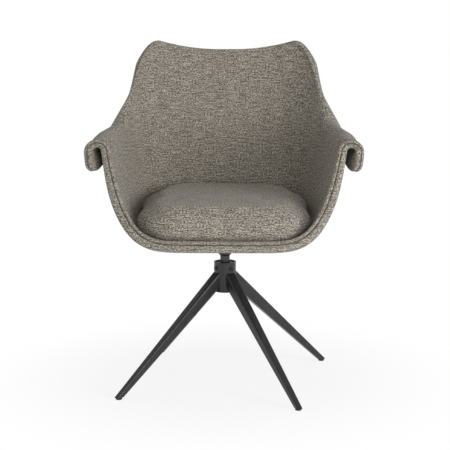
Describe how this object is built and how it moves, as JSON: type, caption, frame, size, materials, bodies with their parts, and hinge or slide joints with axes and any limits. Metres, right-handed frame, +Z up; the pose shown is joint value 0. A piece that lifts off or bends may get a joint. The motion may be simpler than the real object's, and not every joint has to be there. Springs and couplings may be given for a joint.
{
  "type": "swivel dining chair",
  "caption": "Upholstered bucket dining chair with rolled arms and a loose seat cushion on a swivelling spindle and splayed tapered metal legs.",
  "frame": {"origin": "where the swivel axis meets the floor, between the glides' soles", "axes": "+Z up, the chair faces -Y, +X is to the right when looking along +Y"},
  "size_m": [0.6498, 0.5637, 0.8425],
  "materials": {
    "black_steel": "satin black powder coat",
    "dark_spindle": "dark satin coat",
    "black_fastener": "blackened steel",
    "bare_steel": "zinc plated",
    "pale_bush": "natural nylon",
    "black_plastic": "moulded black",
    "glide_rubber": "hard black glide",
    "moulded_board": "moulded beech ply",
    "inner_fabric": "flecked taupe-grey weave",
    "outer_fabric": "flecked taupe-grey weave",
    "cushion_fabric": "flecked taupe-grey weave"
  },
  "bodies": {
    "base": {"hub_tube": "black_steel", "hub_screws": "black_fastener", "hub_bottom_cap": "black_plastic", "upper_bush": "pale_bush", "lower_bush": "pale_bush", "thrust_washer": "bare_steel", "leg_back_right": "black_steel", "leg_back_left": "black_steel", "leg_front_left": "black_steel", "leg_front_right": "black_steel", "leg_plug_back_right": "black_plastic", "leg_plug_back_left": "black_plastic", "leg_plug_front_left": "black_plastic", "leg_plug_front_right": "black_plastic", "glide_back_right": "glide_rubber", "glide_back_left": "glide_rubber", "glide_front_left": "glide_rubber", "glide_front_right": "glide_rubber"},
    "seat": {"spindle": "dark_spindle", "keeper_washer": "bare_steel", "keeper_bolt": "black_fastener", "plate_socket": "black_steel", "seat_plate": "black_steel", "plate_gussets": "black_steel", "plate_bolts": "black_fastener", "plate_washers": "bare_steel", "t_nuts": "bare_steel", "seat_board": "moulded_board", "inner_padding": "inner_fabric", "outer_padding": "outer_fabric", "seat_cushion": "cushion_fabric"}
  },
  "joints": [
    {"name": "seat_swivel", "type": "hinge", "parent": "base", "child": "seat", "pos_m": [0, 0, 0.29], "axis": [0, 0, 1], "continuous": true}
  ]
}
